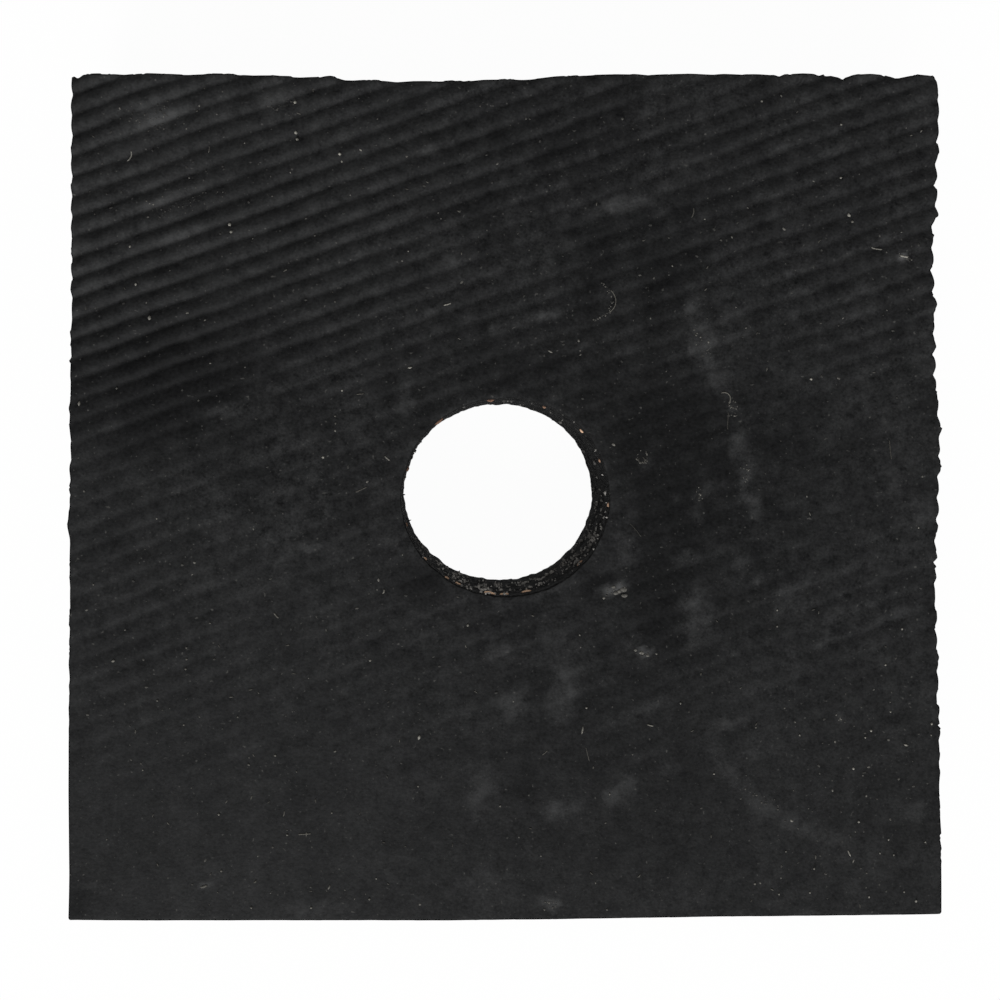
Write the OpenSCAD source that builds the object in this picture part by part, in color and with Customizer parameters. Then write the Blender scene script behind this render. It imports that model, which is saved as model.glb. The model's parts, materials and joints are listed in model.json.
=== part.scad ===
// Rubber machine pad with one round hole, cut from thick cord-reinforced sheet.
// Ridges left by the cord ply run across the upper face at a slant and die out towards the front,
// and where they reach the left and right edges the cut shows a bite at every groove.
// The origin is on the axis of the hole, on the underside. +X is right, +Y is back, +Z is up.

/* [Pad] */
// Width of the pad across its middle, left to right
pad_w = 101.6; // [70:0.1:160]
// Depth of the pad along its left edge, front to back
pad_d = 99.1; // [70:0.1:160]
// Thickness of the rubber, up to the tops of the ridges
pad_t = 12.7; // [6:0.1:30]

/* [Hole] */
// Diameter of the hole
hole_d = 23.8; // [6:0.1:50]
// Distance by which the hole lies to the right of the pad's middle
hole_off_x = 0.25; // [-5:0.05:5]
// Distance by which the hole lies in front of the pad's middle
hole_off_y = 0; // [-5:0.05:5]

/* [Ridges] */
// Distance from one ridge top to the next, beside the hole
ridge_pitch = 2.44; // [1.6:0.01:4]
// How much closer each ridge is to the next than the one before it, going back
ridge_crowding = 0.008; // [0:0.001:0.01]
// Distance in front of the hole's axis, across the ridges, of the nearest groove
groove_at = 1.37; // [-2:0.01:2]
// Angle of the ridges to the front edge
ridge_angle = 19.3; // [0:0.1:40]
// Depth of the grooves between the ridges, where they are deepest
groove_depth = 0.45; // [0.1:0.05:0.9]
// Distance behind the hole's axis, across the ridges, at which the grooves have their full depth
groove_full_at = 31; // [10:0.5:45]
// Distance in front of the hole's axis, across the ridges, at which the grooves have died out
groove_end_at = 28; // [0:0.5:32]

/* [Cut edges] */
// Widening of the pad from its back edge to its front edge
flare = 0.8; // [0:0.05:3]
// Depth of the bites in the left edge
left_bite = 0.15; // [0:0.05:0.6]
// Depth of the bites in the right edge
right_bite = 0.35; // [0:0.05:0.6]
// Height of the slow waves in the right edge, to either side of its line
right_wave = 0.3; // [0:0.05:0.8]
// Length of one slow wave in the right edge
right_wave_l = 41; // [25:0.5:60]
// Distance behind the hole's axis of a top of the slow waves in the right edge
right_wave_y = 7; // [-30:0.5:30]
// Depth of the hollow in the back edge
back_hollow = 0.8; // [0:0.05:2]
// Length of the hollow in the back edge
back_hollow_l = 45; // [20:0.5:50]
// Distance from the hole's axis to the middle of the hollow, to the left
back_hollow_x = 10; // [-9:0.5:10]
// Rise of the front edge from its bend to its right end
front_rise = 0.75; // [0:0.05:3]
// Distance from the hole's axis to the bend in the front edge, to the left
front_bend_x = 6.5; // [-25:0.5:25]

/* [Hidden] */
rubber = [0.13, 0.13, 0.135];

// Flat faces to each ridge, and points to each bite and to the hollow
ridge_facets = 6;
bite_facets = 4;
hollow_facets = 18;

// Faces of the hole as it is drawn, and how far a cut runs past the surface that it opens
hole_facets = 96;
past = 1;

left_x = -pad_w / 2 - hole_off_x;
right_x = pad_w / 2 - hole_off_x;
front_y = -pad_d / 2 + hole_off_y;
back_y = pad_d / 2 + hole_off_y;
reach = norm([pad_w + flare, pad_d + front_rise]) / 2 + norm([hole_off_x, hole_off_y]) + past;
most_ridges = ceil(2 * reach / ridge_pitch);

// Distance behind the hole's axis, across the ridges, of a count of grooves: a whole count is
// a groove, and a half lies on a ridge top
function place(count) = ridge_pitch * count - ridge_crowding * count * count / 2 - groove_at;

// Drop from the ridge tops, as a share: 0 on a round ridge top, 1 in the sharp groove beside it
function groove(count) = 1 - abs(sin(180 * count));

// Depth of the grooves at a distance across the ridges
function depth_at(u) = groove_depth * min(1, max(0, (u + groove_end_at) / (groove_full_at + groove_end_at)));

// Widening of the pad on each side, at a distance back, against its width across the middle
function flare_at(y) = flare / 2 * (hole_off_y - y) / pad_d;

// Slow waves of the right edge between its wave top and a distance back: the next top in front of it
// is the last one, and from there the edge runs on in line with that top
function waves_to(y) = max(-1, (y - right_wave_y) / right_wave_l);

// Lines of the left and right edges, before they are bitten
function left_line(y) = left_x - flare_at(y);
function right_line(y) = right_x + flare_at(y) + right_wave * cos(360 * waves_to(y));

// Counts of grooves, front to back, whose lines cross a side at x between two distances back
function counts_along(x, y0, y1) = [
    for (i = [-most_ridges * bite_facets : most_ridges * bite_facets])
        let (count = i / bite_facets, y = crossing(x, count))
        if (y > y0 && y < y1) count
];

// Distance back at which the line of a count crosses a side at x
function crossing(x, count) = (place(count) + x * sin(ridge_angle)) / cos(ridge_angle);

// Hollow of the back edge at a share of its length: a bay with smooth ends
function hollow_at(share) = back_hollow * (1 - cos(360 * share)) / 2;

front_edge = [
    [left_line(front_y), front_y],
    [-front_bend_x, front_y],
    [right_line(front_y + front_rise), front_y + front_rise]
];
right_edge = [
    for (count = counts_along(right_x, front_y + front_rise, back_y))
        let (y = crossing(right_x, count))
        [right_line(y) - right_bite * groove(count), y]
];
back_edge = [
    [right_line(back_y), back_y],
    for (i = [hollow_facets : -1 : 0])
        let (share = i / hollow_facets)
        [(share - 0.5) * back_hollow_l - back_hollow_x, back_y - hollow_at(share)],
    [left_line(back_y), back_y]
];
left_counts = counts_along(left_x, front_y, back_y);
left_edge = [
    for (i = [len(left_counts) - 1 : -1 : 0])
        let (count = left_counts[i], y = crossing(left_x, count))
        [left_line(y) + left_bite * groove(count), y]
];

// Section of the sheet across the ridges: flat in front, ridged behind
ridge_tops = [
    for (i = [-most_ridges * ridge_facets : most_ridges * ridge_facets])
        let (count = i / ridge_facets, u = place(count))
        if (u > -groove_end_at && u < reach) [u, pad_t - depth_at(u) * groove(count)]
];
ridge_section = concat([[reach, -past], [-reach, -past], [-reach, pad_t]], ridge_tops, [[reach, pad_t]]);

// Outline of the pad as it is cut out of the sheet
module cut_outline() {
    linear_extrude(height = pad_t + past)
        polygon(concat(front_edge, right_edge, back_edge, left_edge));
}

// Sheet with the ridges running along its length, larger than the pad
module ridged_sheet() {
    rotate([0, 0, ridge_angle])
        rotate([90, 0, 90])
            linear_extrude(height = 2 * reach, center = true)
                polygon(ridge_section);
}

module pad() {
    color(rubber)
        difference() {
            intersection() {
                cut_outline();
                ridged_sheet();
            }
            translate([0, 0, -past])
                cylinder(h = pad_t + 2 * past, d = hole_d, $fn = hole_facets);
        }
}

pad();
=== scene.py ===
import json
import math
import random

import bpy
import numpy as np
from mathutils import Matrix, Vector, geometry, noise


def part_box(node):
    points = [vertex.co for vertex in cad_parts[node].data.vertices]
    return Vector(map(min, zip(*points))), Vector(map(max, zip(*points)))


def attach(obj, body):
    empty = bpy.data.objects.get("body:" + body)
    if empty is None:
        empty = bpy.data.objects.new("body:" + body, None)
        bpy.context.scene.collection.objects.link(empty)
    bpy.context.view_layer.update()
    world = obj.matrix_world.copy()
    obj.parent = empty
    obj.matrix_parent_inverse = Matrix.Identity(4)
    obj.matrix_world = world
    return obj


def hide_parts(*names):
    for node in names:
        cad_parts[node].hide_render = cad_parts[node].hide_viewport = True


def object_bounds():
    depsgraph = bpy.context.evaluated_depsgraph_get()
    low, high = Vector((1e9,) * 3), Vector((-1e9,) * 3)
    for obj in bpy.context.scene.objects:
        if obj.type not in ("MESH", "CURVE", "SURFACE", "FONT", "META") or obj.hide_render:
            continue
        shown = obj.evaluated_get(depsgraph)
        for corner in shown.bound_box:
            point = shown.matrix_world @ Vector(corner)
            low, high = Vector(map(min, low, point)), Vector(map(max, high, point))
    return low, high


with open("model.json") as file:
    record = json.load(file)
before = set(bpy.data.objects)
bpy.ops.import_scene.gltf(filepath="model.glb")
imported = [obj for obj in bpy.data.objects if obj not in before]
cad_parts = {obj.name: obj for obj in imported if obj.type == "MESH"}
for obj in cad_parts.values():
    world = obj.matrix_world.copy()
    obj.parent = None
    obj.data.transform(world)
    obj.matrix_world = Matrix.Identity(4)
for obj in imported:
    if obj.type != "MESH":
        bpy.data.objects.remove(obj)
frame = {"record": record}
cad_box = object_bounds()

# Camera
# The pad lies flat and is seen from straight above, from a point a little behind and to the left of
# the hole, so that the hole's wall shows at its front and right. The frame is shifted over the pad.
mm = 0.001
sensor = 36.0
frame_width = 116.84 * mm
frame_middle = (-0.67 * mm, -0.30 * mm)
camera_foot = (-8.9 * mm, 8.26 * mm)
camera_height = 114.3 * mm

camera = bpy.data.objects.new("camera", bpy.data.cameras.new("camera"))
camera.data.sensor_width = sensor
camera.data.lens = sensor * camera_height / frame_width
camera.data.shift_x = (frame_middle[0] - camera_foot[0]) / frame_width
camera.data.shift_y = (frame_middle[1] - camera_foot[1]) / frame_width
camera.data.clip_start = 5 * mm
camera.location = (*camera_foot, cad_box[1].z + camera_height)
bpy.context.collection.objects.link(camera)
bpy.context.scene.camera = camera

# Pad
# The pad is one block of black rubber, cut by knife from thick sheet with cord plies in it. The ply that
# was pulled off its upper face left slant ridges there, deepest at the back left and gone at the front.
# The hole was punched, which left it a little oval with a rough wall. Lengths here are millimetres.
low, high = (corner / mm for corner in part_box("pad"))
thickness = high.z - low.z
pad_width = 101.6
flare = 0.8
left_x = low.x + flare / 4
right_x = left_x + pad_width
front_y, back_y = low.y, high.y
right_wave = 0.3
right_wave_length = 41.0
right_wave_top = 7.0
back_hollow = 0.8
back_hollow_length = 45.0
back_hollow_x = -10.0
front_rise = 0.75
front_bend_x = -6.5

# depths of the bites of the grooves and of the small tears in the edges: steps over spans of x or y
right_bites = ((-38, -20, 0.15), (37, 41, -0.15))
left_bites = ((-38, -20, -0.08),)
bite_middle = 0.6
bite_layers = ((1.2, 3.5, 4.2),)
front_tear = 0.01
right_tears = ((-45, -41, 0.10), (-36, -24, 0.09), (40, 44, -0.09))
back_tear = 0.07
back_tears = ((20, 36, 0.08),)
left_tears = ((-32, -12, 0.08), (-6, 0, 0.06), (18, 24, -0.06))
tear_ramps = (0.18, 0.25, 0.4, 0.7, 1.2, 2.0)
sudden_share = 0.4
sudden_length = 0.01

ridge_pitch = 2.418
ridge_crowding = 0.008
groove_at = 1.06
ridge_turn = math.radians(19.3)
groove_depth = 0.45
groove_softness = 0.12
ridge_top_at = 0.38
groove_full_y = 24.0
groove_deepens_y = 3.0
groove_shows_y = -17.0
groove_end_y = -40.0

# how far the ridges stray from straight lines, as shares of their pitch
front_skew = 0.33
front_skew_growth = 0.0113
front_skew_span = (25.0, -20.0)
corner_skew = 0.11
corner_skew_back = (38.0, 47.0)
corner_skew_left = (-20.0, -46.0)
ridge_layers = ((0.10, 17.0, 3.1), (0.07, 6.0, 8.4), (0.04, 2.4, 8.9))

# depth of the grooves behind the hole, as shares: steps from left to right, and spots where they are worn
deep_share = 0.74
left_share = 1.20
share_steps = ((-46, -30, -0.15), (-28, 8, -0.72), (16, 44, 0.38))
lag_steps = ((-12, 8, 3.0),)
back_edge_span = (34.0, 44.0)
back_spots = ((6, 0, 16, 1, 0.45),)
back_steps = ((22, 40, 0.15), (-22, -40, -0.15))
worn_spots = ((-26, 11, 14, 9, -0.6), (-16, 23, 9, 9, -0.25), (36, 24, 20, 10, -0.25))

# the same for the shallow grooves beside the hole and in front of it, and the patchy wear of all grooves
shallow_share = 0.21
shallow_steps = ((-36, -46, 0.5), (30, 44, 0.2))
shallow_spots = ((42, -14.5, 12, 6.5, 0.9), (-38, -2, 9, 9, 0.4),
                 (-26.5, -20, 8, 13, -0.5), (36, 7, 24, 13, -0.65))
wear_layers = ((0.4, 9.0, 5.7),)
fine_wear_layers = ((1.0, 3.2, 5.9),)
fine_wear = 0.2
fine_wear_steps = ((-25, 5, 0.3),)

hole_radius = next(m for m in frame["record"]["mounts"] if m["name"] == "bolt_hole")["dims"]["r_mm"]
hole_oval = 0.27
punch_lean = 0.4
hole_rim_round = 0.12
rim_round = 0.18
corner_round = 0.35
back_right_round = 0.8
face_drop = 0.12
swell_layers = ((0.08, 24.0, 1.3), (0.05, 7.0, 2.2), (0.03, 2.6, 6.6))
edge_step = 0.18
ridge_samples = 9
along_step = 0.8


def wander(x, y, size, layer):
    """Smooth random values, about -1 to 1, over places whose lumps are about size long."""
    return np.array([noise.noise((a / size, b / size, layer)) for a, b in zip(x, y)])


def rough(x, y, layers):
    """A sum of layers of wander, each with its height, the length of its lumps and its layer."""
    return sum(height * wander(x, y, size, layer) for height, size, layer in layers)


def ease(value, start, end):
    """0 before start, 1 after end, and a smooth rise between them."""
    share = np.clip((value - start) / (end - start), 0.0, 1.0)
    return share * share * (3 - 2 * share)


def steps(x, rows):
    """A sum of smooth steps, each with its start, its end and its height."""
    return sum(height * ease(x, start, end) for start, end, height in rows)


def spot(x, y, middle_x, middle_y, half_x, half_y):
    """A soft oval: 1 in its middle, 0 outside it."""
    return 1 - ease(np.hypot((x - middle_x) / half_x, (y - middle_y) / half_y), 0.2, 1.2)


def spots(x, y, rows):
    """A sum of soft ovals, each with its middle, its half lengths and its height."""
    return sum(height * spot(x, y, *oval) for *oval, height in rows)


def ridge_count(x, y):
    """How many grooves a place lies behind the first one: whole in a groove, half-way on a ridge top."""
    across = y * math.cos(ridge_turn) - x * math.sin(ridge_turn)
    root = np.sqrt(ridge_pitch ** 2 - 2 * ridge_crowding * (across + groove_at))
    return (ridge_pitch - root) / ridge_crowding


def ridge_place(count, along):
    """The place on the face of a count of grooves, at a distance along the ridges."""
    across = ridge_pitch * count - ridge_crowding * count ** 2 / 2 - groove_at
    return (along * math.cos(ridge_turn) - across * math.sin(ridge_turn),
            along * math.sin(ridge_turn) + across * math.cos(ridge_turn))


def ridge_stray(x, y):
    """How far the ridges wander from straight lines, as a share of their pitch: they skew in front."""
    skewed = -(front_skew + front_skew_growth * x) * ease(y, *front_skew_span)
    corner = -corner_skew * ease(y, *corner_skew_back) * ease(x, *corner_skew_left)
    return skewed + corner + rough(x, y, ridge_layers)


def ridge_height(count):
    """Height across the ridges, as a share: 0 in a groove, 1 on the top of a ridge, which leans forward."""
    share = count - np.floor(count)
    front, back = share / ridge_top_at, (1 - share) / (1 - ridge_top_at)
    sharp = np.hypot(np.sin(math.pi / 2 * np.minimum(front, back)), groove_softness) - groove_softness
    return sharp / (math.hypot(1.0, groove_softness) - groove_softness)


def groove_strength(x, y):
    """Depth of the grooves as a share: full at the back left, weaker to the right, none at the front."""
    back = (spots(x, 0.0, back_spots) + steps(x, back_steps)) * ease(y, *back_edge_span)
    deep = deep_share * (left_share + steps(x, share_steps) + back) * (1.0 + spots(x, y, worn_spots))
    deep = deep * ease(y - steps(x, lag_steps), groove_deepens_y, groove_full_y)
    shallow = 1.0 + steps(x, shallow_steps) + spots(x, y, shallow_spots)
    shallow = shallow_share * shallow * ease(y, groove_end_y, groove_shows_y)
    patchy = 1.0 + rough(x, y, wear_layers)
    patchy += (fine_wear + steps(x, fine_wear_steps)) * rough(x, y, fine_wear_layers)
    return (deep + shallow) * np.clip(patchy, 0.1, 2.0)


def face_height(x, y):
    """Height of the upper face over the underside."""
    ridge = ridge_height(ridge_count(x, y) + ridge_stray(x, y))
    drop = groove_depth * groove_strength(x, y) * (1 - ridge)
    return thickness - face_drop - drop + rough(x, y, swell_layers)


def widen(y):
    """How far each side edge stands out from its middle line: the pad is wider in front."""
    return -flare / 2 * y / (back_y - front_y)


def front_line(x):
    return front_y + front_rise * max(0.0, (x - front_bend_x) / (right_x - front_bend_x))


def right_line(y):
    waved = max(y - right_wave_top, -right_wave_length) / right_wave_length
    return right_x + widen(y) + right_wave * math.cos(2 * math.pi * waved)


def back_line(x):
    reach = (x - back_hollow_x) / back_hollow_length
    return back_y - (back_hollow * (1 + math.cos(2 * math.pi * reach)) / 2 if abs(reach) < 0.5 else 0.0)


def left_line(y):
    return left_x - widen(y)


def side_stations():
    """Points round the edge, counter-clockwise: place, way out, and the depth of the bites and tears."""
    def between(start, end, clear_start, clear_end):
        way = math.copysign(1.0, end - start)
        points = int(abs(end - start) / edge_step)
        return np.linspace(start + way * clear_start, end - way * clear_end, points)

    def corner(x, y, facing, radius):
        middle_x = x - math.copysign(radius, x)
        middle_y = y - math.copysign(radius, y)
        turns = [math.radians(facing + degrees) for degrees in (15.0, 30.0, 45.0, 60.0, 75.0)]
        return [(middle_x + radius * math.cos(a), middle_y + radius * math.sin(a),
                 math.cos(a), math.sin(a), 0.0, 0.0) for a in turns]

    r, wide_r = corner_round, back_right_round
    front_left, front_right = left_line(front_y), right_line(front_y + front_rise)
    back_left, back_right = left_line(back_y), right_line(back_y)
    run = [(x, front_line(x), 0.0, -1.0, 0.0, front_tear) for x in between(front_left, front_right, r, r)]
    run += corner(front_right, front_y + front_rise, -90, r)
    run += [(right_line(y), y, 1.0, 0.0, steps(y, right_bites), steps(y, right_tears))
            for y in between(front_y + front_rise, back_y, r, wide_r)]
    run += corner(back_right, back_y, 0, wide_r)
    run += [(x, back_line(x), 0.0, 1.0, 0.0, back_tear + steps(x, back_tears))
            for x in between(back_right, back_left, wide_r, r)]
    run += corner(back_left, back_y, 90, r)
    run += [(left_line(y), y, -1.0, 0.0, steps(y, left_bites), steps(y, left_tears))
            for y in between(back_y, front_y, r, r)]
    run += corner(front_left, front_y, 180, r)
    return np.array(run)


def ragged(points, step, seed):
    """A torn line, -1 to 1, at points a step apart: ramps of uneven length, some with a sudden end."""
    dice = random.Random(seed)
    knots = [(0.0, 0.0)]
    while knots[-1][0] < points * step:
        knots.append((knots[-1][0] + dice.choice(tear_ramps), dice.uniform(-1.0, 1.0)))
        if dice.random() < sudden_share:
            knots.append((knots[-1][0] + sudden_length, dice.uniform(-1.0, 1.0)))
    return np.interp(np.arange(points) * step, *zip(*knots))


def ring_of(points):
    """The edges that close a run of points into a loop."""
    return [(points[i], points[(i + 1) % len(points)]) for i in range(len(points))]


def skirt(upper, lower, outward):
    """Faces between two loops of like length, seen from outside the loop or from inside it."""
    faces = []
    for (a, b), (c, d) in zip(ring_of(upper), ring_of(lower)):
        faces.append((a, c, d, b) if outward else (a, b, d, c))
    return faces


class PadMesh:
    """Gathers the pad's vertices and faces, and the part of the surface that each face belongs to."""

    def __init__(self):
        self.places, self.faces, self.parts = [], [], []

    def add_places(self, x, y, z):
        start = len(self.places)
        self.places.extend(zip(x, y, z))
        return list(range(start, len(self.places)))

    def add_faces(self, faces, part):
        self.faces.extend(faces)
        self.parts.extend([part] * len(faces))

    def add_sheet(self, x, y, height, outer, inner, part, up):
        """A sheet of triangles over scattered places, bounded by an outer and an inner loop of vertices."""
        loops = outer + inner
        points = [Vector(self.places[i][:2]) for i in loops] + [Vector(p) for p in zip(x, y)]
        edges = ring_of(list(range(len(outer))))
        edges += ring_of(list(range(len(outer), len(loops))))
        faces, origins = geometry.delaunay_2d_cdt(points, edges, [], 1, 1e-7)[2:4]
        first, last = len(outer), len(loops)

        def fills_hole(face):
            """A triangle inside the inner loop has all its corners there, in the loop's own order."""
            a, b, c = (origins[i][0] for i in face)
            return (all(first <= i < last for i in (a, b, c))
                    and (a < b < c or b < c < a or c < a < b))

        ids = loops + self.add_places(x, y, height)
        faces = [tuple(ids[origins[i][0]] for i in f) for f in faces if not fills_hole(f)]
        self.add_faces(faces if up else [f[::-1] for f in faces], part)


FACE, RIM, CUT, BORE, UNDER = range(5)
pad_mesh = PadMesh()

# snags in the cut edge, out of its line or, where negative, into it: x, y, reach, half width
snags = (
    (51, 8.5, 0.35, 1.6), (51, 3.7, 0.25, 1.2), (50.2, 22.6, 0.3, 1.2), (50.4, 17.6, 0.25, 0.8),
    (50.4, 15, -0.38, 6.5), (50.6, 40, 0.16, 9), (50.6, 34, 0.16, 6), (50.7, -16, 0.16, 5),
    (51.2, -36, -0.15, 6), (-51.4, -44, -0.13, 9), (50.5, 33, 0.2, 1.2), (50.6, -18.7, 0.22, 0.5),
    (-51.1, -3.1, 0.3, 1.8), (-51, 16, 0.18, 0.5), (-51, 10.4, 0.15, 0.7), (-50.2, 49.5, -0.45, 0.7),
    (32.1, 49.5, -0.25, 0.6), (39.5, 49.5, -0.48, 1.3), (46, 49.5, -0.45, 1.6), (48.5, 49.5, -0.13, 4),
    (-40, 49.5, 0.11, 14), (4, 49.3, -0.18, 6.5), (-20.5, 49, 0.25, 1.6), (-6.2, 48.8, 0.22, 1.4),
)

# the knife-cut sides: bites at the grooves and tears, which fade downwards
side_x, side_y, out_x, out_y, bite, tear = side_stations().T
count = ridge_count(side_x, side_y) + ridge_stray(side_x, side_y)
bitten = bite * (bite_middle - ridge_height(count)) * (1 + rough(side_x, side_y, bite_layers))
uneven = bitten + tear * ragged(len(side_x), edge_step, seed=11)
for snag_x, snag_y, reach, half_width in snags:
    away = np.hypot(side_x - snag_x, side_y - snag_y)
    uneven -= reach * np.clip(1 - away / half_width, 0.0, 1.0)
rim_z = face_height(side_x, side_y)

# marks of the knife, down the sides and along them: depth, stretch from top to bottom, length and layer
knife_marks = ((0.04, 0.35, 0.8, 2.9), (0.04, 6.0, 9.0, 2.4))
marks_full_depth = 1.5
tears_fade = 0.6
side_depths = (0.5, 1.1, 1.9, 2.8, 4.0, 5.2, 6.4, 7.6, 8.8, 10.0, 11.2)


def side_inset(depth):
    """How far the cut side lies inside the pad's outline at a depth below the face."""
    marks = sum(height * wander(side_x + side_y, np.full(len(side_x), depth * stretch), size, layer)
                for height, stretch, size, layer in knife_marks)
    return uneven * (1 - tears_fade * depth / thickness) + marks * ease(depth, 0.0, marks_full_depth)


rim_turns = np.radians((0, 30, 60, 90))
rim_rows = [(rim_round * (1 - math.cos(a)), rim_round * (1 - math.sin(a))) for a in rim_turns]
side_rows = rim_rows + [(depth, 0.0) for depth in side_depths]
side_rows += [(thickness - rim_round, 0.0), (thickness, rim_round)]
side_loops = []
for depth, inset in side_rows:
    inward = side_inset(depth) + inset
    height = rim_z * (1 - depth / thickness)
    side_loops.append(pad_mesh.add_places(side_x - out_x * inward, side_y - out_y * inward, height))
for row, (upper, lower) in enumerate(zip(side_loops, side_loops[1:]), 1):
    pad_mesh.add_faces(skirt(upper, lower, True), RIM if row < len(rim_rows) else CUT)

# the punched hole: an oval whose wall is scored round and pitted, and leans in at the back
hole_layers = ((0.10, 6.0, 12.5), (0.08, 1.1, 13.5))
hole_tear = 0.05
large_pits = ((0.14, 1.6, 15.2),)
small_pits = ((0.10, 0.7, 17.8),)
pits_start = (0.2, 1.2)
wall_rows = 24
wall_rows_start = 0.7
hole_points = int(2 * math.pi * hole_radius / edge_step)
turn = np.linspace(0.0, 2 * math.pi, hole_points, endpoint=False)
ring_x, ring_y = np.cos(turn), np.sin(turn)
hole_x, hole_y = ring_x * hole_radius, ring_y * hole_radius
hole_rim = hole_radius + hole_oval * np.cos(2 * turn)
hole_rim += rough(hole_x, hole_y, hole_layers)
hole_rim += hole_tear * ragged(hole_points, edge_step, seed=23)
hole_z = face_height(ring_x * hole_rim, ring_y * hole_rim)


def wall_radius(depth):
    """Radius of the hole's wall all round, at a depth below the face."""
    level = np.full(hole_points, depth)
    pits = rough(hole_x, hole_y + level, large_pits)
    pits += rough(hole_x + level, hole_y, small_pits)
    lean = punch_lean * np.clip(ring_y, 0.0, 1.0) * depth / thickness
    return hole_rim - lean + pits * ease(depth, *pits_start)


hole_rows = [(0.0, hole_rim_round), (0.3 * hole_rim_round, 0.3 * hole_rim_round), (hole_rim_round, 0.0)]
hole_rows += [(depth, 0.0) for depth in np.linspace(wall_rows_start, thickness - wall_rows_start, wall_rows)]
hole_rows += [(thickness - rim_round, 0.0), (thickness, rim_round)]
hole_loops = []
for depth, inset in hole_rows:
    radius = wall_radius(depth) + inset
    height = hole_z * (1 - depth / thickness)
    hole_loops.append(pad_mesh.add_places(ring_x * radius, ring_y * radius, height))
for upper, lower in zip(hole_loops, hole_loops[1:]):
    pad_mesh.add_faces(skirt(upper, lower, False), BORE)

# the upper face: rows of places that follow the grooves, so that each groove keeps its foot
ridge_counts = np.arange(-28, 34, 1 / ridge_samples)
ridge_alongs = np.arange(-74, 74, along_step)
lattice_margin = 3.0
face_clear = 0.12
counts, alongs = (v.ravel() for v in np.meshgrid(ridge_counts, ridge_alongs))
face_x, face_y = ridge_place(counts, alongs)
inside = (face_x > left_x - lattice_margin) & (face_x < right_x + lattice_margin)
inside = inside & (face_y > front_y - lattice_margin) & (face_y < back_y + lattice_margin)
counts, alongs, face_x, face_y = (v[inside] for v in (counts, alongs, face_x, face_y))
face_x, face_y = ridge_place(counts - ridge_stray(face_x, face_y), alongs)


def clear_of_edges(x, y, loop_out, loop_in, gap):
    """Which places lie inside the outer loop and outside the inner one, at least gap away from both."""
    ring = np.array([pad_mesh.places[i][:2] for i in loop_out])
    hole = np.array([pad_mesh.places[i][:2] for i in loop_in])
    squarely = 0.9
    side_right = np.interp(y, *ring[out_x > squarely].T[::-1])
    side_left = np.interp(y, *ring[out_x < -squarely][::-1].T[::-1])
    side_front = np.interp(x, *ring[out_y < -squarely].T)
    side_back = np.interp(x, *ring[out_y > squarely][::-1].T)
    hole_reach = np.interp(np.arctan2(y, x) % (2 * math.pi), turn, np.hypot(*hole.T), period=2 * math.pi)
    return ((x < side_right - gap) & (x > side_left + gap) & (y > side_front + gap)
            & (y < side_back - gap) & (np.hypot(x, y) > hole_reach + gap))


clear = clear_of_edges(face_x, face_y, side_loops[0], hole_loops[0], face_clear)
face_x, face_y = face_x[clear], face_y[clear]
pad_mesh.add_sheet(face_x, face_y, face_height(face_x, face_y), side_loops[0], hole_loops[0], FACE, True)

# the underside: flat, with the faint unevenness of moulded sheet
under_step = 1.6
under_clear = 0.3
under_rough = 0.03
under_x, under_y = np.meshgrid(np.arange(-52, 52, under_step), np.arange(-51, 51, under_step))
under_x, under_y = under_x.ravel(), under_y.ravel()
clear = clear_of_edges(under_x, under_y, side_loops[-1], hole_loops[-1], under_clear)
under_x, under_y = under_x[clear], under_y[clear]
under_z = under_rough * (1 + wander(under_x, under_y, 8.0, 21.0))
pad_mesh.add_sheet(under_x, under_y, under_z, side_loops[-1], hole_loops[-1], UNDER, False)


def add_mesh(name, places, faces):
    """A smooth mesh in the scene, from places in millimetres: its object and its data."""
    mesh = bpy.data.meshes.new(name)
    mesh.from_pydata([Vector(p) * mm for p in places], [], faces)
    mesh.polygons.foreach_set("use_smooth", [True] * len(mesh.polygons))
    made = bpy.data.objects.new(name, mesh)
    bpy.context.collection.objects.link(made)
    return made, mesh


def add_attribute(mesh, name, values):
    """A value at each vertex, which the materials read by name."""
    mesh.attributes.new(name, "FLOAT", "POINT").data.foreach_set("value", values)


pad, mesh = add_mesh("rubber_pad", pad_mesh.places, pad_mesh.faces)
mesh.polygons.foreach_set("material_index", pad_mesh.parts)

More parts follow.
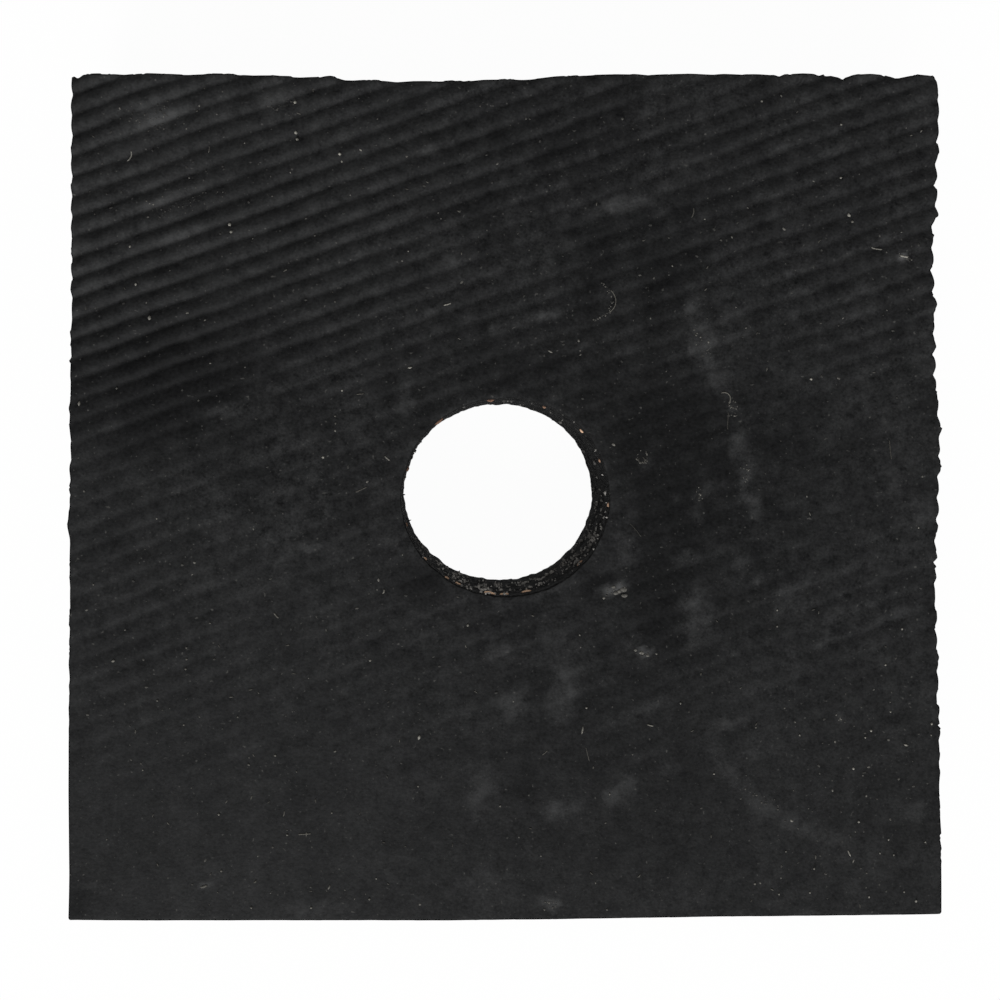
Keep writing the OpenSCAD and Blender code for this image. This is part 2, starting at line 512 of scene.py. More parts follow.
# chalk on the face and, where negative, places rubbed clean, with one patch of painted light at the left
# edge:
# x, y, two half lengths, strength, any turn
chalk_and_light_patches = (
    (-40.9, 44.9, 3.6, 2.4, 0.27, 15), (-26.9, 46.8, 2.4, 2, 0.21), (-39.3, 34.7, 4.1, 1.2, 0.18, 18),
    (-38.2, 30.6, 3, 1.2, 0.14, 18), (-50.4, 36.2, 0.7, 0.8, 0.25), (-50.4, 29.8, 0.7, 1, 0.25),
    (-32.3, 10.1, 1.7, 1, 0.14), (-26.9, 12.5, 1, 0.8, 0.12), (-23.6, -5.9, 1.2, 0.9, 0.13),
    (-20.9, -1.6, 2, 0.5, 0.07, 90), (-16, -10, 5, 4, -0.03), (-32, 6, 18, 8, -0.015),
    (-11.8, 11.3, 1.2, 1.9, 0.12), (13.6, 34.2, 4.2, 1.1, 0.24, 12), (2.2, 26.5, 1.1, 2.6, 0.12),
    (5, 26.8, 1.2, 0.9, 0.18, 60), (4.7, 21.4, 1.6, 0.9, 0.22, 10), (-6.6, 27.6, 1.2, 1, 0.15, 60),
    (-8.7, 21.6, 1.5, 0.8, 0.18, 20), (-1.1, 19.4, 1, 0.7, 0.16), (8.7, 18, 1.5, 0.6, 0.13, 10),
    (-8.7, 40.4, 1, 0.7, 0.2, 20), (11.8, 22.2, 1.4, 1.9, 0.09), (22.2, 21.4, 2.8, 1.3, 0.22, -80),
    (23.2, 17.4, 2.8, 1.5, 0.25, -68), (25, 14, 2.1, 1.1, 0.19, -60), (26.6, 10.4, 1.2, 0.9, 0.22),
    (27.6, 5.2, 3.6, 1.2, 0.2, -80), (28.2, 2.4, 1.6, 1.1, 0.18, 90), (28.9, -0.8, 2.5, 1.1, 0.21, -65),
    (22.4, -0.6, 2.6, 1, 0.22, 80), (19.8, 0, 0.7, 0.6, 0.14), (21.3, -7.2, 2.3, 1, 0.16, 10),
    (27.5, -7.7, 1.6, 1.2, 0.12), (29.5, -9.7, 1.2, 0.9, 0.18), (16.3, 4, 1.1, 1.1, 0.1),
    (14.2, -5.7, 3, 1.4, 0.14, 90), (45.6, 0.2, 3, 1, 0.08, 90), (49, -2.8, 3.6, 1.2, 0.08, 90),
    (12.8, -10.9, 1.6, 0.9, 0.6, 5), (15.9, -18.3, 1, 0.4, 0.35, -12), (22.4, -14.2, 3.8, 2.3, 0.21, 90),
    (6.8, -22.6, 3.8, 2.1, 0.22, 80), (0.5, -24, 2.5, 2, 0.18, 90), (-0.6, -18, 1.8, 1.3, 0.12),
    (16.5, -24.4, 2.6, 0.9, 0.12, 15), (33, -11.3, 1.7, 1.3, 0.17), (-2.7, -34.5, 3.8, 2, 0.17, 80),
    (6.8, -36.3, 2.8, 1.7, 0.16, 15), (13.4, -34.4, 2.3, 2, 0.22, 10), (48, -36.8, 1.6, 1.2, 0.18, 30),
    (46.7, 28.2, 1, 0.4, 0.6, -10), (26.3, -26.5, 2.4, 0.7, 0.15, 4), (28.6, -30, 1, 0.9, 0.13),
    (39.1, -25.8, 0.8, 0.5, 0.12, -30), (-35.2, -45.5, 1, 0.5, 0.35, 10), (-48.1, -45.7, 1.6, 0.7, 0.12),
    # painted light: the wide faint patch at x -47, y 30 lightens the ridges along the left edge
    (-39.9, 12.5, 15, 10, -0.115), (-47, 30, 15, 8, 0.035, 90), (15.7, 25.4, 10, 10, -0.06),
    (18, 8, 11, 6, -0.06, 80), (19.2, -5.1, 9, 5, -0.07, 90), (6.3, 43, 9, 7, -0.04),
    (0, 14.5, 15, 5, -0.03), (6, 8, 32, 20, -0.03), (14, 38, 24, 14, -0.025), (26, 0, 17, 17, -0.055),
    (10, -22, 20, 12, -0.035), (8, 15, 10, 7, -0.02), (0, -38, 60, 16, -0.012), (-22, -48.3, 4.5, 1, 0.14),
    (19, -14, 9, 7, -0.05), (10, -37, 16, 9, -0.03), (28, -38, 11, 7, -0.02), (-50.3, -47.5, 2, 2, -0.08),
    (-40, 44, 22, 10, 0.025, 10), (13.8, 1, 1.8, 5, 0.07), (5.2, -47.6, 1.2, 1.2, 0.3),
    (-2, -44.2, 4.8, 0.9, 0.07, 5), (-9.8, -10, 3.6, 3.4, -0.11), (-1, -14, 6, 2.2, -0.05),
    (10.2, -10.2, 3, 2.4, -0.1),
)

# the bent scrape of chalk in front of the hole, on the right: its ends and the point that it bends towards
scrape_start = (23.0, -26.2)
scrape_bend = (26.4, -37.3)
scrape_end = (40.9, -40.8)
scrape_half_width = 1.3
scrape_points = 25
scrape_end_share = 0.15
scrape_skew = 1.4
scrape_film = 0.18
scrape_smear = 0.3
scrape_unbroken = 0.3

# the film of dust: its mean and layers, how scuffed it is, how patches are smeared and broken, the
# wear and painted highlight on the hole's rim, and the dust on the lip under it
film_mean = 0.135
film_layers = ((0.025, 13.0, 31.0),)
scuff_layers = ((0.06, 4.0, 32.0), (0.05, 1.8, 33.0))
scuffs_left = 0.90
scuff_steps_x = ((-32, 4, 0.25),)
scuff_steps_y = ((-10, -35, -0.24),)
scuff_spots = ((-26, 5, 16, 14, 0.45),)
smear_x_layers = ((0.9, 2.6, 35.0), (0.5, 0.9, 36.0))
smear_y_layers = ((0.9, 2.6, 37.0), (0.5, 0.9, 38.0))
broken_layers = ((0.9, 1.3, 39.0),)
patch_floor = thickness - 1.5
rim_wear_and_highlight = 0.14
rim_highlight_width = 0.4
rim_highlight_share = 0.3
rim_highlight_layers = ((1.0, 1.2, 34.0),)
lip_dust = 0.8
lip_reach = 0.5
lip_top = thickness - 0.6
lip_fade = (thickness - 2.8, thickness - 0.8)
lip_front = (3.0, -8.0)

# painted shade, which darkens the hole's wall at the back and on the right
wall_shade_most = 0.85
wall_shade_lean = 0.4
wall_shade_span = (-3.0, 8.0)
wall_shade_reach = 0.7
wall_shade_top = thickness - 0.5


def scrape(x, y):
    """How strong the scrape is at each place: it fades to both ends."""
    strength = np.zeros(len(x))
    for share in np.linspace(0.0, 1.0, scrape_points):
        parts = (1 - share) ** 2, 2 * share * (1 - share), share ** 2
        along_x, along_y = (sum(p * q for p, q in zip(parts, places))
                            for places in zip(scrape_start, scrape_bend, scrape_end))
        away = np.hypot(x - along_x, y - along_y) / scrape_half_width
        fade = scrape_end_share + (1 - scrape_end_share) * math.sin(math.pi * share ** scrape_skew)
        strength = np.maximum(strength, fade * (1 - ease(away, 0.2, 1.1)))
    return strength


def scuffs(x, y):
    """How mottled the face is: scuffed on the right and beside the hole, smooth in the front left corner."""
    return scuffs_left + steps(x, scuff_steps_x) + steps(y, scuff_steps_y) + spots(x, y, scuff_spots)


def chalk_and_light_amount(x, y, z):
    """How much chalky dust lies at each place, the film all over and the patches on the face, and painted
    light.
    """
    film_and_light = film_mean + rough(x, y, film_layers) + scuffs(x, y) * rough(x, y, scuff_layers)
    smear_x, smear_y = rough(x, y, smear_x_layers), rough(x, y, smear_y_layers)
    broken = np.clip(1.0 + rough(x, y, broken_layers), 0.2, 1.8)
    on_face = z > patch_floor
    for patch_x, patch_y, length, width, strength, *turned in chalk_and_light_patches:
        c, s = math.cos(math.radians(sum(turned))), math.sin(math.radians(sum(turned)))
        away_x, away_y = x + smear_x - patch_x, y + smear_y - patch_y
        far = np.hypot((away_x * c + away_y * s) / length, (away_y * c - away_x * s) / width)
        share = (1 - ease(far, 0.2, 1.3)) * on_face
        film_and_light = film_and_light + strength * share * (broken if strength > 0 else 1.0)
    scraped = scrape(x + scrape_smear * smear_x, y + scrape_smear * smear_y) * on_face
    film_and_light += scrape_film * scraped * (scrape_unbroken + (1 - scrape_unbroken) * broken)
    # painted highlight and wear: a pale band along the hole's rim
    worn_and_lit_rim = rim_wear_and_highlight * np.exp(-((np.hypot(x, y) - hole_radius) / rim_highlight_width) ** 2)
    film_and_light += worn_and_lit_rim * np.clip(rim_highlight_share + rough(x, y, rim_highlight_layers), 0.0, 1.0)
    on_lip = (np.hypot(x, y) < hole_radius + lip_reach) & (z < lip_top)
    film_and_light += lip_dust * on_lip * ease(z, *lip_fade) * ease(y, *lip_front)
    return np.clip(film_and_light, 0.02, 1.0)


def wall_shade_amount(x, y, z):
    """How dark the hole's wall is painted as shade: most at the back, none in front or off the wall."""
    on_wall = (np.hypot(x, y) < hole_radius + wall_shade_reach) & (z < wall_shade_top)
    return wall_shade_most * ease(y + wall_shade_lean * x, *wall_shade_span) * on_wall


vertex_x, vertex_y, vertex_z = np.array(pad_mesh.places).T
add_attribute(mesh, "chalk_and_light", chalk_and_light_amount(vertex_x, vertex_y, vertex_z))
add_attribute(mesh, "mottle", scuffs(vertex_x, vertex_y))
add_attribute(mesh, "painted_wall_shade", wall_shade_amount(vertex_x, vertex_y, vertex_z))


def join(tree, source, socket):
    """Wires a node's output, or sets a plain value, on an input."""
    if isinstance(source, bpy.types.NodeSocket):
        tree.links.new(source, socket)
    else:
        socket.default_value = source


def put(tree, kind, inputs=(), **settings):
    """Adds a shader node with its settings and inputs."""
    made = tree.nodes.new(kind)
    for name, value in settings.items():
        setattr(made, name, value)
    for name, source in dict(inputs).items():
        join(tree, source, made.inputs[name])
    return made


def maths(tree, operation, *values, clamp=False):
    """The output of a math node."""
    made = put(tree, "ShaderNodeMath", dict(enumerate(values)), operation=operation, use_clamp=clamp)
    return made.outputs[0]


def blend(tree, share, first, second):
    """The output of a colour mix."""
    made = put(tree, "ShaderNodeMix", {0: share, 6: first, 7: second}, data_type="RGBA")
    return made.outputs[2]


def group(name, takes, gives):
    """An empty node group with named inputs and outputs, and its two end nodes."""
    tree = bpy.data.node_groups.new(name, "ShaderNodeTree")
    for label, kind, value in takes:
        socket = tree.interface.new_socket(label, in_out="INPUT", socket_type=kind)
        if kind == "NodeSocketFloat":
            socket.default_value = value
    for label, kind in gives:
        tree.interface.new_socket(label, in_out="OUTPUT", socket_type=kind)
    return tree, tree.nodes.new("NodeGroupInput").outputs, tree.nodes.new("NodeGroupOutput").inputs


# fine grain of the moulded rubber: small lumps
grain, takes, gives = group(
    "rubber grain",
    [("Place", "NodeSocketVector", None), ("Size", "NodeSocketFloat", 0.0005)],
    [("Height", "NodeSocketFloat")])
fineness = maths(grain, "DIVIDE", 1.0, takes["Size"])
lumps = put(grain, "ShaderNodeTexNoise", {"Vector": takes["Place"], "Scale": fineness, "Detail": 2.0})
join(grain, lumps.outputs["Fac"], gives["Height"])

# chalky dust, which lies in clouds and grains: more of it where the amount is high; the amount also carries
# painted light
cloud_weight = 1.9
loose_gain = 1.6
loose_middle = -2.32
film_most = 0.17
specks_gain = 9.0
specks_middle = -7.0
dust_and_light_group, takes, gives = group(
    "chalk dust and painted light",
    [("Place", "NodeSocketVector", None), ("Amount", "NodeSocketFloat", 0.1),
     ("Mottle", "NodeSocketFloat", 1.0)],
    [("Mask", "NodeSocketFloat"), ("Specks", "NodeSocketFloat")])


def dust_noise(scale, detail, roughness=0.5):
    """Smooth random values over the rubber, for the dust."""
    made = put(dust_and_light_group, "ShaderNodeTexNoise", {"Vector": takes["Place"], "Scale": scale, "Detail": detail,
                                            "Roughness": roughness})
    return made.outputs["Fac"]


cloud = dust_noise(scale=750.0, detail=3.0, roughness=0.7)
grains = dust_noise(scale=3800.0, detail=1.0)
specks = dust_noise(scale=3000.0, detail=0.0)
loose = maths(dust_and_light_group, "MULTIPLY_ADD", cloud, cloud_weight, grains)
loose = maths(dust_and_light_group, "MULTIPLY_ADD", loose, loose_gain, loose_middle)
loose = maths(dust_and_light_group, "MULTIPLY", loose, takes["Mottle"])
film_and_light = maths(dust_and_light_group, "MINIMUM", takes["Amount"], film_most)
join(dust_and_light_group, maths(dust_and_light_group, "MULTIPLY_ADD", loose, film_and_light, takes["Amount"], clamp=True), gives["Mask"])
join(dust_and_light_group, maths(dust_and_light_group, "MULTIPLY_ADD", specks, specks_gain, specks_middle, clamp=True), gives["Specks"])

rubber_black = (0.0008, 0.0008, 0.0009, 1.0)
rubber_grey = (0.0142, 0.0145, 0.0150, 1.0)
# rim_shade_black and rim_shade_grey paint the rounded top edge of the sides near black: painted shade, a
# dark line along the edges
rim_shade_black = (0.0010, 0.0010, 0.0011, 1.0)
rim_shade_grey = (0.0040, 0.0041, 0.0042, 1.0)
cut_black = (0.0060, 0.0061, 0.0064, 1.0)
cut_grey = (0.0190, 0.0192, 0.0200, 1.0)
wall_black = (0.0020, 0.0020, 0.0021, 1.0)
wall_grey = (0.0200, 0.0200, 0.0200, 1.0)
# chalk_and_light_grey is the chalk's colour and that of the painted light mixed with it; its slight cool
# tint is a painted sheen of the sky
chalk_and_light_grey = (0.084, 0.085, 0.0855, 1.0)
speck_grey = (0.055, 0.054, 0.051, 1.0)
least_roughness = 0.5
more_roughness = 0.3


def grained_material(name, grain_size, shine):
    """A new material, its nodes, its shader, the place on the piece and the height of its grain."""
    material = bpy.data.materials.new(name)
    material.use_nodes = True
    tree = material.node_tree
    shader = tree.nodes["Principled BSDF"]
    shader.inputs["Specular IOR Level"].default_value = shine
    place = put(tree, "ShaderNodeTexCoord").outputs["Object"]
    grain_node = put(tree, "ShaderNodeGroup", {"Place": place, "Size": grain_size}, node_tree=grain)
    return material, tree, shader, place, grain_node.outputs["Height"]


def read_attribute(tree, name):
    """The output of a node that reads a value of the vertices."""
    return put(tree, "ShaderNodeAttribute", attribute_name=name).outputs["Fac"]


def rubber_material(name, dark, light, grain_size, grain_height, dust_and_light_share, shine):
    """Black rubber with its grain, the dust on it, and the painted shade and light that its attributes
    carry.
    """
    material, tree, shader, place, tone = grained_material(name, grain_size, shine)
    # painted shade: this attribute darkens the back and right of the hole's wall
    unshaded = maths(tree, "SUBTRACT", 1.0, read_attribute(tree, "painted_wall_shade"))
    colour = blend(tree, maths(tree, "MULTIPLY", tone, unshaded), dark, light)
    amount = maths(tree, "MULTIPLY", read_attribute(tree, "chalk_and_light"), dust_and_light_share)
    dust_and_light_inputs = {"Place": place, "Amount": amount, "Mottle": read_attribute(tree, "mottle")}
    dust_and_light_node = put(tree, "ShaderNodeGroup", dust_and_light_inputs, node_tree=dust_and_light_group)
    colour = blend(tree, dust_and_light_node.outputs["Mask"], colour, chalk_and_light_grey)
    colour = blend(tree, dust_and_light_node.outputs["Specks"], colour, speck_grey)
    join(tree, colour, shader.inputs["Base Color"])
    roughness = maths(tree, "MULTIPLY_ADD", tone, more_roughness, least_roughness)
    join(tree, roughness, shader.inputs["Roughness"])
    bump = put(tree, "ShaderNodeBump", {"Height": tone, "Strength": 1.0, "Distance": grain_height})
    join(tree, bump.outputs["Normal"], shader.inputs["Normal"])
    return material


# a row for each part of the surface: name, colours, the grain's size and height in metres, share of dust and
# painted light, shine
surfaces = (
    ("ridged face", rubber_black, rubber_grey, 0.00045, 0.00005, 1.0, 0.05),
    # the rim's row paints shade: a dark line along the top edges
    ("rim painted dark as shade", rim_shade_black, rim_shade_grey, 0.0005, 0.00005, 0.0, 0.0),
    ("cut sides", cut_black, cut_grey, 0.0007, 0.0002, 0.35, 0.04),
    ("punched wall", wall_black, wall_grey, 0.0004, 0.00016, 0.2, 0.006),
    ("underside", rubber_black, rubber_grey, 0.0006, 0.00008, 0.7, 0.05),
)
for row in surfaces:
    mesh.materials.append(rubber_material(*row))
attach(pad, "root")
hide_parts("pad")

# Cord ends
# Plies of parallel cord lie in the rubber, one above the other and crossed in turn. The punch and the knife
# cut them off, and their frayed ends stand a little out of the hole's wall and the sides.
cord_pitch = 2.44
cord_radius = 0.24
ply_depths = (1.6, 3.7, 5.8, 7.9, 10.0)
crossed_turn = ridge_turn + math.radians(90.0)
ply_turns = (ridge_turn, crossed_turn, ridge_turn, crossed_turn, ridge_turn)
# ends of the top ply's cords: degrees round the hole, and tint from bright to rust
top_ply_ends = (
    (21, 0.7), (41, 0.2), (66, 0.85), (98, 0.9), (131, 0.9), (164, 0.9), (196, 0.8), (218, 0.2),
    (242, 0), (261, 0), (270, 0.1), (234, 0.3), (283, 0.1), (318, 0.6), (356, 0.5),
)
end_depths = (0.6, 1.9)
end_stand_out = 0.2
end_back_longer = 0.3
end_back_span = (0.2, 0.8)
end_tint_spread = 0.1
end_rough = 0.4
least_slant = 0.4
# strands frayed out of the wall: most and palest in front, paler lower down and on the right near the rim,
# and duller at the front right and back left; in front and lower down they are made paler as painted light
# for the shaded wall
most_strands = 16
busy_turn = math.radians(-70.0)
dull_turn = math.radians(-40.0)
strand_spread = 9
strand_scatter = 0.8
strand_clear = 0.2
pale_least = 0.2
pale_gain = 1.4
painted_light_below = 0.6
dull_share = 0.45
pale_right = 0.5
pale_right_depths = (6.0, 1.6)
pale_right_span = (0.8, 0.95)
# ends that the knife left in the sides
side_most = 3
side_spread = 5
side_scatter = 0.6
side_clear = 0.5
side_stand_out = 0.05
cord_cleanness = 1.8
fibre_cleanness = 1.2
fibre_shine = 0.1
fibre_roughness = 0.9
fibre_grain = 0.2 * mm
bead_rings = 3
bead_sides = 8


class BitsMesh:
    """Gathers many small closed bits into one mesh, each with a tint of its own."""

    def __init__(self):
        self.places, self.faces, self.tints = [], [], []

    def add_tube(self, rings, tint):
        """A closed bit through rings of like length, with a point at each end given as a ring of one."""
        starts = []
        for ring in rings:
            starts.append(len(self.places))
            self.places.extend(ring)
            self.tints.extend([tint] * len(ring))
        sides = len(rings[1])
        for a, b, before, after in zip(starts, starts[1:], rings, rings[1:]):
            for i in range(sides):
                j = (i + 1) % sides
                if len(before) == 1:
                    self.faces.append((a, b + j, b + i))
                elif len(after) == 1:
                    self.faces.append((a + i, a + j, b))
                else:
                    self.faces.append((a + i, a + j, b + j, b + i))

    def add_bead(self, middle, axes, jitter, dice, tint):
        """A rough bead with three half axes; the first one runs from end to end."""
        along, across, up = axes
        rings = [[middle - along]]
        for i in range(1, bead_rings + 1):
            polar = math.pi * i / (bead_rings + 1)
            ring = []
            for k in range(bead_sides):
                around = 2 * math.pi * k / bead_sides
                size = math.sin(polar) * dice.uniform(1 - jitter, 1 + jitter)
                ring.append(middle - along * math.cos(polar)
                            + (across * math.cos(around) + up * math.sin(around)) * size)
            rings.append(ring)
        rings.append([middle + along])
        self.add_tube(rings, tint)

    def piece(self, name, material):
        made, mesh = add_mesh(name, self.places, self.faces)
        add_attribute(mesh, "tint", self.tints)
        mesh.materials.append(material)
        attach(made, "root")


def fibre_material(name, first, second, cleanness):
    """Matt fibre, soiled in places; its colour runs from the first to the second with each bit's tint."""
    material, tree, shader, _, tone = grained_material(name, fibre_grain, fibre_shine)
    shader.inputs["Roughness"].default_value = fibre_roughness
    soiled = maths(tree, "MULTIPLY_ADD", tone, -cleanness, 1.0, clamp=True)
    colour = blend(tree, read_attribute(tree, "tint"), first, second)
    join(tree, blend(tree, soiled, colour, rubber_grey), shader.inputs["Base Color"])
    return material


def crossings(x, y, ply_turn):
    """Which points of a loop have a cord of a ply crossing the wall beside them."""
    count = np.floor((y * math.cos(ply_turn) - x * math.sin(ply_turn)) / cord_pitch)
    return np.nonzero(count != np.roll(count, -1))[0]


def slanted(radius, facing, ply_turn):
    """Half length of a cut cord on a wall: longer where the cord meets the wall at a slant."""
    return radius / max(abs(facing.x * math.cos(ply_turn) + facing.y * math.sin(ply_turn)), least_slant)


def add_end(bits, place, facing, half_length, half_height, tilt, stand_out, dice, tint):
    """A cut fibre end on a wall that faces one way, tilted from level."""
    level = Vector((facing.y, -facing.x, 0.0))
    rise = Vector((0.0, 0.0, 1.0))
    along = (level * math.cos(tilt) + rise * math.sin(tilt)) * half_length
    tall = (rise * math.cos(tilt) - level * math.sin(tilt)) * half_height
    bits.add_bead(place, (along, facing * stand_out, tall), end_rough, dice, tint)


def wall_place(i, depth):
    """A place on the hole's wall beside a point of its rim, and the way that the wall faces there."""
    radius = wall_radius(depth)[i]
    return (Vector((ring_x[i] * radius, ring_y[i] * radius, hole_z[i] * (1 - depth / thickness))),
            Vector((-ring_x[i], -ring_y[i], 0.0)))


dice = random.Random(5)
wall_ends, wall_strands, side_ends = BitsMesh(), BitsMesh(), BitsMesh()
for degrees, tint in top_ply_ends:
    point = round(degrees / 360 * hole_points) % hole_points
    place, facing = wall_place(point, dice.uniform(*end_depths))
    half_length = slanted(cord_radius, facing, ply_turns[0]) * dice.uniform(0.7, 1.2)
    half_length = half_length * (1 + end_back_longer * ease(facing.y, *end_back_span))
    half_height = cord_radius * dice.uniform(0.6, 0.9)
    tilt = dice.uniform(-0.2, 0.2)
    tint = tint + end_tint_spread * dice.random()
    add_end(wall_ends, place, facing, half_length, half_height, tilt, end_stand_out, dice, tint)

for depth, ply_turn in zip(ply_depths, ply_turns):
    radius = wall_radius(depth)
    for i in crossings(ring_x * radius, ring_y * radius, ply_turn):
        busy = max(0.0, math.cos(turn[i] - busy_turn))
        spread = slanted(1.0, wall_place(i, depth)[1], ply_turn)
        for _ in range(round(1 + most_strands * busy * spread * dice.random())):
            k = (i + round(strand_spread * spread * dice.uniform(-1.0, 1.0))) % hole_points
            level = min(max(depth + dice.gauss(0.0, strand_scatter), strand_clear), thickness - strand_clear)
            place, facing = wall_place(k, level)
            strand = 0.06 + 0.18 * dice.random() ** 2
            half_length = strand * dice.choice((0.8, 1.0, 1.2, 1.6))
            half_height = strand * dice.uniform(1.0, 2.0)
            tilt, stand_out = dice.gauss(0.0, 0.5), dice.uniform(0.08, 0.30)
            tint = 1.0 - (pale_least + (1 - pale_least) * min(1.0, pale_gain * busy)) * dice.random()
            # painted light: strands lower down in front are made paler
            tint = tint * (1 - painted_light_below * busy * depth / thickness)
            tint = tint + (1 - tint) * dull_share * max(0.0, math.cos(2 * (turn[i] - dull_turn)))
            near_rim = ease(depth, *pale_right_depths) * ease(ring_x[i], *pale_right_span)
            tint = tint * (1 - pale_right * near_rim)
            add_end(wall_strands, place, facing, half_length, half_height, tilt, stand_out, dice, tint)

    inward = side_inset(depth)
    for i in crossings(side_x, side_y, ply_turn):
        for _ in range(dice.randint(0, side_most)):
            k = (i + dice.randint(-side_spread, side_spread)) % len(side_x)
            facing = Vector((out_x[k], out_y[k], 0.0))
            level = min(max(depth + dice.gauss(0.0, side_scatter), side_clear), thickness - side_clear)
            height = rim_z[k] * (1 - level / thickness)
            place = Vector((side_x[k] - out_x[k] * inward[k], side_y[k] - out_y[k] * inward[k], height))
            strand = dice.uniform(0.06, 0.2)
            half_length = slanted(strand, facing, ply_turn) * dice.uniform(0.8, 1.5)
            tilt = dice.gauss(0.0, 0.4)
            tint = dice.random() ** 0.5
            add_end(side_ends, place, facing, half_length, strand, tilt, side_stand_out, dice, tint)

# cord_bright is the cords' orange at the most that a colour can be, partly painted light for the shaded
# front of the hole's wall
cord_bright = (0.98, 0.66, 0.45, 1.0)
cord_rust = (0.12, 0.06, 0.04, 1.0)
# strand_pale is the strands' own pale colour, raised further as painted light for the shaded front of the
# hole's wall
strand_pale = (0.93, 0.89, 0.83, 1.0)
strand_dull = (0.03, 0.03, 0.029, 1.0)
cord_dull = (0.11, 0.105, 0.095, 1.0)
cord_dark = (0.015, 0.015, 0.0145, 1.0)
wall_ends.piece("wall_cord_ends", fibre_material("frayed cord", cord_bright, cord_rust, cord_cleanness))
wall_strands.piece("wall_strands", fibre_material("cut strands", strand_pale, strand_dull, fibre_cleanness))
side_ends.piece("side_cord_ends", fibre_material("knifed cord", cord_dull, cord_dark, fibre_cleanness))

